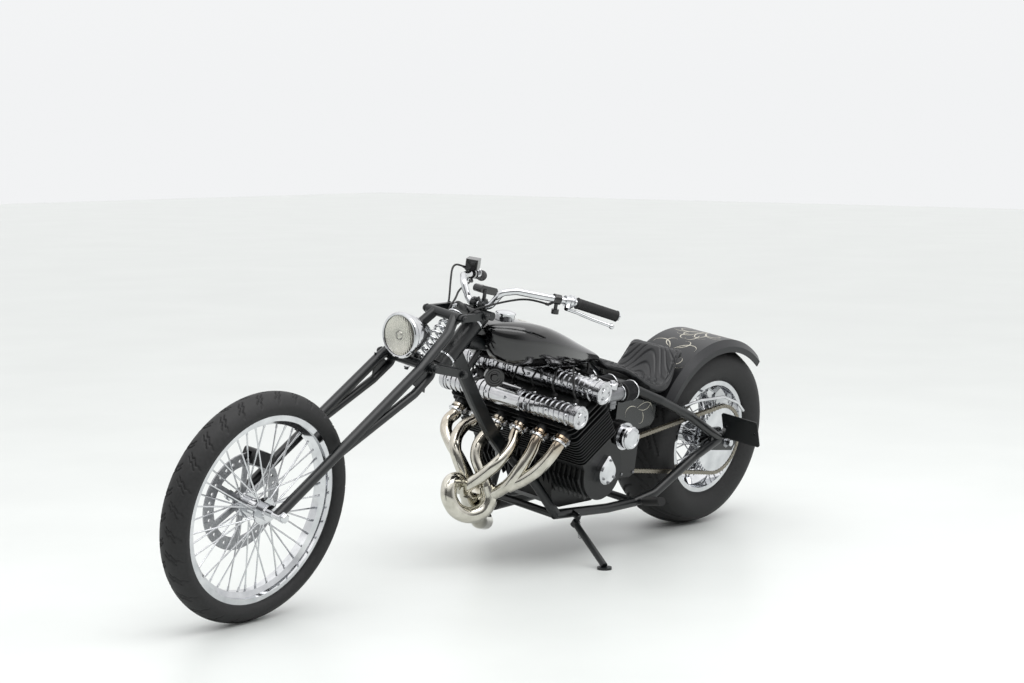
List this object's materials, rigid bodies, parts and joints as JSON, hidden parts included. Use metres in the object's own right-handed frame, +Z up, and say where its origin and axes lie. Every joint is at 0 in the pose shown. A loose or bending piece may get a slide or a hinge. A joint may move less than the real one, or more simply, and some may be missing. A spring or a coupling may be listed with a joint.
{
  "type": "chopper motorcycle",
  "caption": "Long low chopper motorcycle with girder fork, transverse finned engine, swept exhaust pipes and wide rear tyre, parked on its side stand.",
  "frame": {"origin": "centre of the parked machine's bounding box on the floor", "axes": "+X forward, +Y to its left, +Z up"},
  "size_m": [2.7516, 0.676, 0.9968],
  "materials": {
    "air_filters": "pleated gauze",
    "alternator_cover": "polished",
    "bar_controls": "black",
    "carburettors": "cast",
    "chain_guard": "polished",
    "clutch_cover": "polished",
    "control_cables": "black",
    "crank_end_covers": "polished",
    "crankcase": "satin black",
    "cylinder_block": "satin black",
    "cylinder_head": "satin black",
    "drive_chain": "oiled",
    "exhaust_cam_cover": "polished",
    "exhaust_headers": "heat tinted",
    "filler_cap": "polished",
    "foot_pegs": "matte",
    "fork_links": "satin",
    "fork_spring": "polished",
    "front_axle": "polished",
    "front_brake_disc": "ground",
    "front_caliper": "black",
    "front_hub_and_spokes": "polished",
    "front_rim": "polished",
    "front_tyre": "matte tread rubber",
    "fuel_tank": "gloss black",
    "girder_fork": "gloss dark grey",
    "grips": "matte",
    "hand_levers": "polished",
    "handlebar": "polished",
    "headlamp_lens": "clear",
    "headlamp_shell": "polished",
    "horn": "black",
    "indicator_pod": "black",
    "intake_cam_cover": "polished",
    "main_frame": "gloss black",
    "muffler": "satin black",
    "oil_tank": "gloss dark green",
    "plate_carrier": "satin black",
    "rear_axle": "polished",
    "rear_brake_disc": "ground",
    "rear_caliper": "black",
    "rear_fender": "satin dark grey",
    "rear_hub_and_spokes": "polished",
    "rear_rim": "polished",
    "rear_sprocket": "polished",
    "rear_tyre": "matte tread rubber",
    "seat": "satin",
    "side_stand": "gloss black",
    "sprocket_cover": "satin dark",
    "steering_stem": "gloss dark grey"
  },
  "bodies": {
    "chassis": {"air_filters": "air_filters", "alternator_cover": "alternator_cover", "carburettors": "carburettors", "chain_guard": "chain_guard", "clutch_cover": "clutch_cover", "crank_end_covers": "crank_end_covers", "crankcase": "crankcase", "cylinder_block": "cylinder_block", "cylinder_head": "cylinder_head", "drive_chain": "drive_chain", "exhaust_cam_cover": "exhaust_cam_cover", "exhaust_headers": "exhaust_headers", "filler_cap": "filler_cap", "foot_pegs": "foot_pegs", "fuel_tank": "fuel_tank", "horn": "horn", "intake_cam_cover": "intake_cam_cover", "main_frame": "main_frame", "muffler": "muffler", "oil_tank": "oil_tank", "plate_carrier": "plate_carrier", "rear_axle": "rear_axle", "rear_caliper": "rear_caliper", "rear_fender": "rear_fender", "seat": "seat", "sprocket_cover": "sprocket_cover"},
    "steering": {"bar_controls": "bar_controls", "control_cables": "control_cables", "fork_links": "fork_links", "fork_spring": "fork_spring", "front_axle": "front_axle", "front_caliper": "front_caliper", "girder_fork": "girder_fork", "grips": "grips", "hand_levers": "hand_levers", "handlebar": "handlebar", "headlamp_lens": "headlamp_lens", "headlamp_shell": "headlamp_shell", "indicator_pod": "indicator_pod", "steering_stem": "steering_stem"},
    "front_wheel": {"front_brake_disc": "front_brake_disc", "front_hub_and_spokes": "front_hub_and_spokes", "front_rim": "front_rim", "front_tyre": "front_tyre"},
    "rear_wheel": {"rear_brake_disc": "rear_brake_disc", "rear_hub_and_spokes": "rear_hub_and_spokes", "rear_rim": "rear_rim", "rear_sprocket": "rear_sprocket", "rear_tyre": "rear_tyre"},
    "side_stand": {"side_stand": "side_stand"}
  },
  "joints": [
    {"name": "steering_turn", "type": "hinge", "parent": "chassis", "child": "steering", "pos_m": [0.23376, 0.02973, 0.75288], "axis": [-0.7477, 0.0981, 0.6568], "range_deg": [-28, 22]},
    {"name": "front_wheel_spin", "type": "hinge", "parent": "steering", "child": "front_wheel", "pos_m": [1.03549, -0.02108, 0.33543], "axis": [-0.0348, 0.9819, -0.1863], "continuous": true},
    {"name": "rear_wheel_spin", "type": "hinge", "parent": "chassis", "child": "rear_wheel", "pos_m": [-1.04331, -0.03338, 0.3308], "axis": [0, 0.989, -0.1478], "continuous": true},
    {"name": "side_stand_fold", "type": "hinge", "parent": "chassis", "child": "side_stand", "pos_m": [-0.24635, 0.09934, 0.12275], "axis": [0.0001, 0.6115, 0.7912], "range_deg": [0, 88]}
  ]
}
